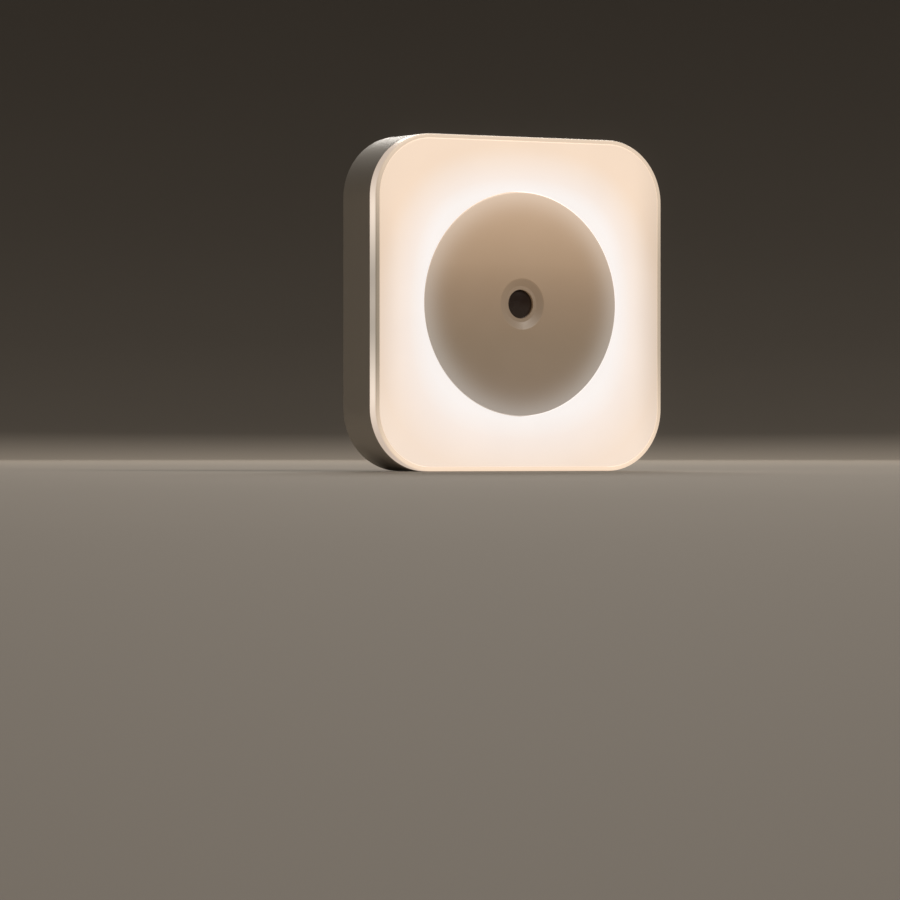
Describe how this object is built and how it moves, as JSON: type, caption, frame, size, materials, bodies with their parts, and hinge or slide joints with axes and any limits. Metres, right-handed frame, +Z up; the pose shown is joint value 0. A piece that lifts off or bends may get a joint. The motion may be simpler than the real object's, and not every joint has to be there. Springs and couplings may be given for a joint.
{
  "type": "plug in night light",
  "caption": "Rounded square night light on flat plug blades, with a lit front panel round a plain disc and a dusk sensor",
  "frame": {"origin": "centre of the plug boss's rear face, which lies on the outlet's face, midway between the two blades", "axes": "+X to the right seen from the room, +Y into the wall along the blades, +Z up"},
  "size_m": [0.0554, 0.0306, 0.0554],
  "materials": {
    "housing_plastic": "satin",
    "diffuser_plastic": "satin",
    "disc_plastic": "satin",
    "smoked_window": "gloss",
    "black_rubber": "matte",
    "sensor_ceramic": "satin",
    "blade_metal": "satin",
    "retainer_plastic": "matte",
    "screw_steel": "satin",
    "board_laminate": "satin",
    "led_package": "satin",
    "resistor_coating": "matte",
    "varistor_coating": "satin",
    "capacitor_sleeve": "satin",
    "black_package": "matte",
    "chip_ceramic": "satin",
    "solder": "gloss"
  },
  "bodies": {
    "root": {"rear_housing": "housing_plastic", "front_rim": "diffuser_plastic", "front_diffuser": "diffuser_plastic", "centre_disc": "disc_plastic", "sensor_window": "smoked_window", "sensor_sleeve": "black_rubber", "light_sensor": "sensor_ceramic", "prong_left": "blade_metal", "prong_right": "blade_metal", "prong_retainer": "retainer_plastic", "retainer_screws": "screw_steel", "circuit_board": "board_laminate", "board_screws": "screw_steel", "led_chips": "led_package", "fusible_resistor": "resistor_coating", "varistor": "varistor_coating", "smoothing_capacitor": "capacitor_sleeve", "bridge_rectifier": "black_package", "driver_chip": "black_package", "control_transistor": "black_package", "chip_resistors": "chip_ceramic", "chip_capacitor": "chip_ceramic", "solder_joints": "solder"}
  },
  "joints": []
}
